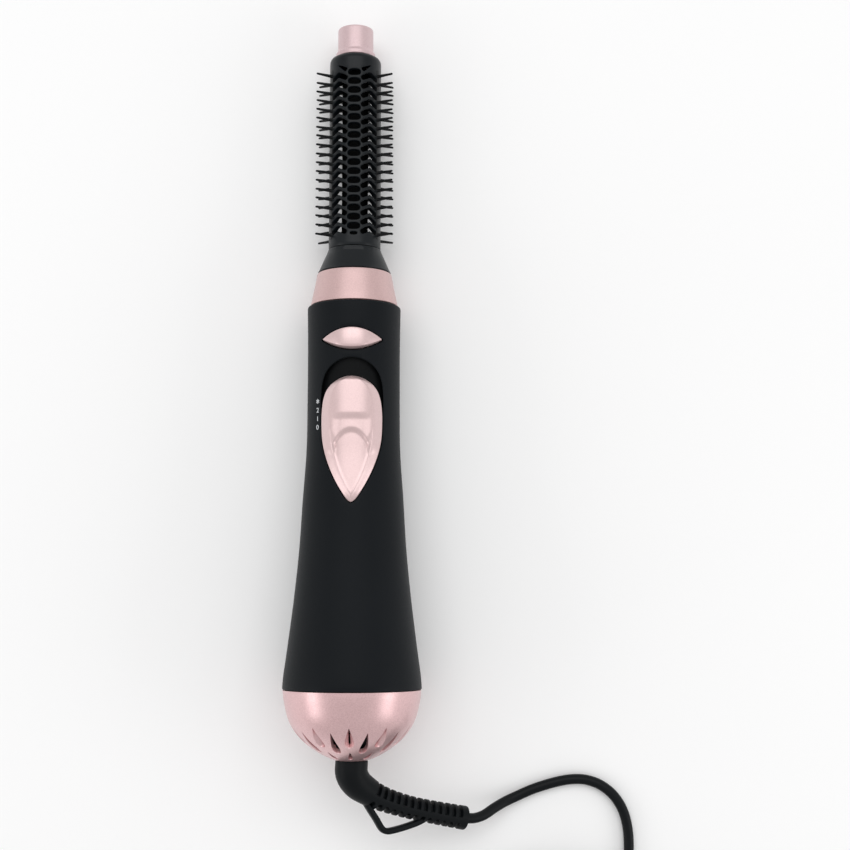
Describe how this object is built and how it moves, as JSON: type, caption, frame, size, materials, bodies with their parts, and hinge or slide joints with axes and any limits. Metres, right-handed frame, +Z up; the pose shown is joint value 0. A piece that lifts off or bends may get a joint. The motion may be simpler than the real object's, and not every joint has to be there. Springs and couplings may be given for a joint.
{
  "type": "hot air brush",
  "caption": "Round hot air styling brush: perforated bristle barrel on a blower handle with thumb slider, release button, vented dome and swivel mains cord with plug.",
  "frame": {"origin": "middle of the tool's footprint on the surface it lies on (cord parts left out)", "axes": "+Y towards the brush tip along the tool, +Z up out of the control side, +X to the right of the controls"},
  "size_m": [0.138, 0.3933, 0.0535],
  "materials": {
    "grip_black": "soft-touch matte black",
    "satin_black": "satin moulded black",
    "rose_paint": "metallic pink lacquer",
    "rubber_black": "matte black rubber",
    "steel": "satin steel",
    "brass_pins": "nickel plated",
    "inner_plastic": "natural moulded plastic",
    "board_green": "solder-masked board",
    "mica": "mica board"
  },
  "bodies": {
    "root": {"handle_shell_front": "grip_black", "handle_shell_rear": "grip_black", "collar_ring": "rose_paint", "inlet_dome": "rose_paint", "inlet_filter": "inner_plastic", "slider_tray": "satin_black", "switch_body": "satin_black", "circuit_board": "board_green", "release_pin": "steel", "release_spring": "steel", "motor_can": "steel", "motor_end_cap": "satin_black", "motor_mount": "satin_black", "heater_tube": "mica", "heater_core": "mica", "heater_coil": "steel", "thermostat": "steel", "thermal_fuse": "inner_plastic", "outlet_nozzle": "satin_black", "outlet_grille": "satin_black", "lead_live": "satin_black", "lead_neutral": "inner_plastic", "cord_clamp": "satin_black", "mains_cord": "rubber_black", "cord_coil": "rubber_black", "cord_end": "rubber_black", "cord_tie": "satin_black", "plug_body": "satin_black", "plug_pin_left": "brass_pins", "plug_pin_right": "brass_pins"},
    "slider": {"slider_button": "rose_paint", "slider_carriage": "inner_plastic"},
    "release": {"release_button": "rose_paint"},
    "brush": {"brush_skirt": "satin_black", "brush_barrel": "satin_black", "barrel_core": "satin_black", "bristle_strip_1": "satin_black", "bristle_strip_2": "satin_black", "bristle_strip_3": "satin_black", "bristle_strip_4": "satin_black", "tip_cap": "rose_paint"},
    "fan": {"fan_impeller": "satin_black", "motor_shaft": "steel"},
    "swivel": {"swivel_bush": "satin_black", "strain_relief": "rubber_black"}
  },
  "joints": [
    {"name": "slider_travel", "type": "slide", "parent": "root", "child": "slider", "axis": [0, 0.9984, -0.0572], "range_m": [0, 0.0072]},
    {"name": "release_press", "type": "hinge", "parent": "root", "child": "release", "pos_m": [0, 0.02578, 0.03316], "axis": [1, 0, 0], "range_deg": [0, 5], "stiffness_Nm_per_rad": 0.25, "springref_deg": -2.86, "deforming": ["release_spring"]},
    {"name": "brush_pull_off", "type": "slide", "parent": "root", "child": "brush", "axis": [0, 0.9984, -0.0572], "range_m": [0, 0.03]},
    {"name": "fan_spin", "type": "hinge", "parent": "root", "child": "fan", "pos_m": [0, -0.10584, 0.02608], "axis": [0, 0.9984, -0.0572], "continuous": true},
    {"name": "cord_swivel", "type": "hinge", "parent": "root", "child": "swivel", "pos_m": [0, -0.14478, 0.02831], "axis": [0, -0.9984, 0.0572], "continuous": true}
  ]
}
